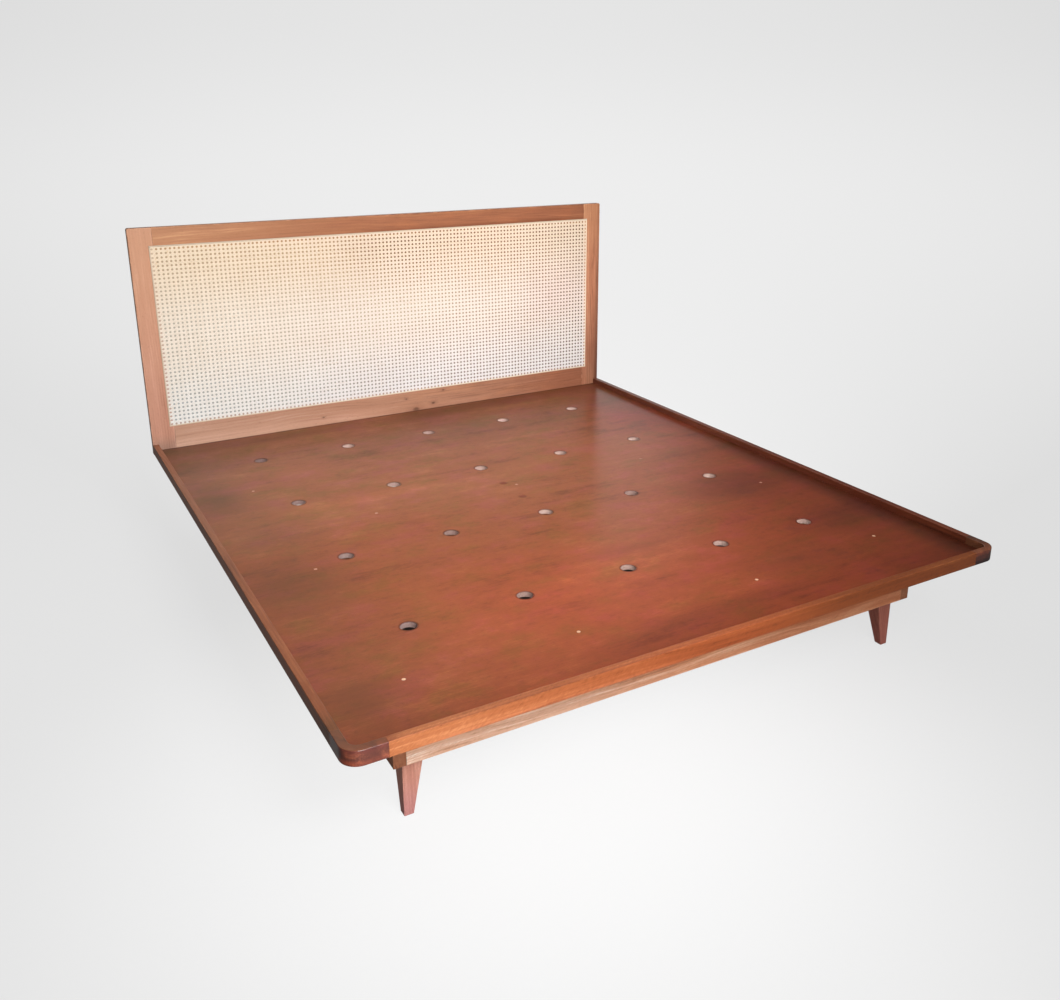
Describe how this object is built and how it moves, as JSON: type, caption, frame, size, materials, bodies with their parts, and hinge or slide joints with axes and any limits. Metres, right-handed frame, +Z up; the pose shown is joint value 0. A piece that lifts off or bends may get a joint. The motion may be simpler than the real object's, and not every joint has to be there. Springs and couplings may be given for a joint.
{
  "type": "double bed",
  "caption": "Low wooden platform bed with a cane-panelled headboard, a shallow rim around a vented deck, and tapered legs under an inset base frame.",
  "frame": {"origin": "on the floor under the middle of the bed's outline", "axes": "+X across the bed to the right seen from the foot, +Y from the foot to the headboard, +Z up"},
  "size_m": [1.86, 2.099, 1.097],
  "materials": {
    "headboard_wood": "oiled red-brown hardwood, satin",
    "rim_wood": "orange-brown hardwood, satin",
    "corner_wood": "dark figured hardwood, semi-gloss",
    "deck_ply": "veneered plywood, semi-gloss",
    "apron_wood": "light streaky hardwood, satin",
    "beam_wood": "red-brown hardwood, satin",
    "strut_wood": "red-brown hardwood, satin",
    "leg_wood": "pinkish hardwood, satin",
    "inner_wood": "unfinished softwood, matt",
    "panel_ply": "thin plywood, matt",
    "plug_wood": "dark wooden plug, satin",
    "spline": "reed spline, satin",
    "cane": "natural woven cane, satin",
    "fixing_steel": "zinc-plated steel"
  },
  "bodies": {
    "root": {"headboard_stile_left": "headboard_wood", "headboard_stile_right": "headboard_wood", "headboard_top_rail": "headboard_wood", "headboard_bottom_rail": "headboard_wood", "headboard_back_panel": "panel_ply", "headboard_strut_left": "strut_wood", "headboard_strut_right": "strut_wood", "cane_webbing": "cane", "cane_spline_top": "spline", "cane_spline_bottom": "spline", "cane_spline_left": "spline", "cane_spline_right": "spline", "tenon_top_left": "inner_wood", "tenon_top_right": "inner_wood", "tenon_bottom_left": "inner_wood", "tenon_bottom_right": "inner_wood", "strut_bolt_left_lower": "fixing_steel", "strut_bolt_left_upper": "fixing_steel", "strut_bolt_right_lower": "fixing_steel", "strut_bolt_right_upper": "fixing_steel", "strut_screw_left_lower": "fixing_steel", "strut_screw_left_upper": "fixing_steel", "strut_screw_right_lower": "fixing_steel", "strut_screw_right_upper": "fixing_steel", "foot_rail": "rim_wood", "side_rail_left": "rim_wood", "side_rail_right": "rim_wood", "corner_block_left": "corner_wood", "corner_block_right": "corner_wood", "deck_front": "deck_ply", "deck_rear": "deck_ply", "deck_plug_front": "plug_wood", "deck_plug_rear": "plug_wood", "deck_screw_front_1": "fixing_steel", "deck_screw_front_2": "fixing_steel", "deck_screw_left_1": "fixing_steel", "deck_screw_left_2": "fixing_steel", "deck_screw_left_3": "fixing_steel", "deck_screw_middle_1": "fixing_steel", "deck_screw_middle_2": "fixing_steel", "deck_screw_middle_3": "fixing_steel", "deck_screw_right_1": "fixing_steel", "deck_screw_right_2": "fixing_steel", "front_apron": "apron_wood", "rear_apron": "beam_wood", "side_beam_left": "beam_wood", "side_beam_right": "beam_wood", "cross_beam": "beam_wood", "leg_front_left": "leg_wood", "leg_front_right": "leg_wood", "leg_rear_left": "leg_wood", "leg_rear_right": "leg_wood", "centre_leg": "leg_wood", "cleat_front": "inner_wood", "cleat_rear": "inner_wood", "cleat_left": "inner_wood", "cleat_right": "inner_wood", "seam_board": "inner_wood"}
  },
  "joints": []
}
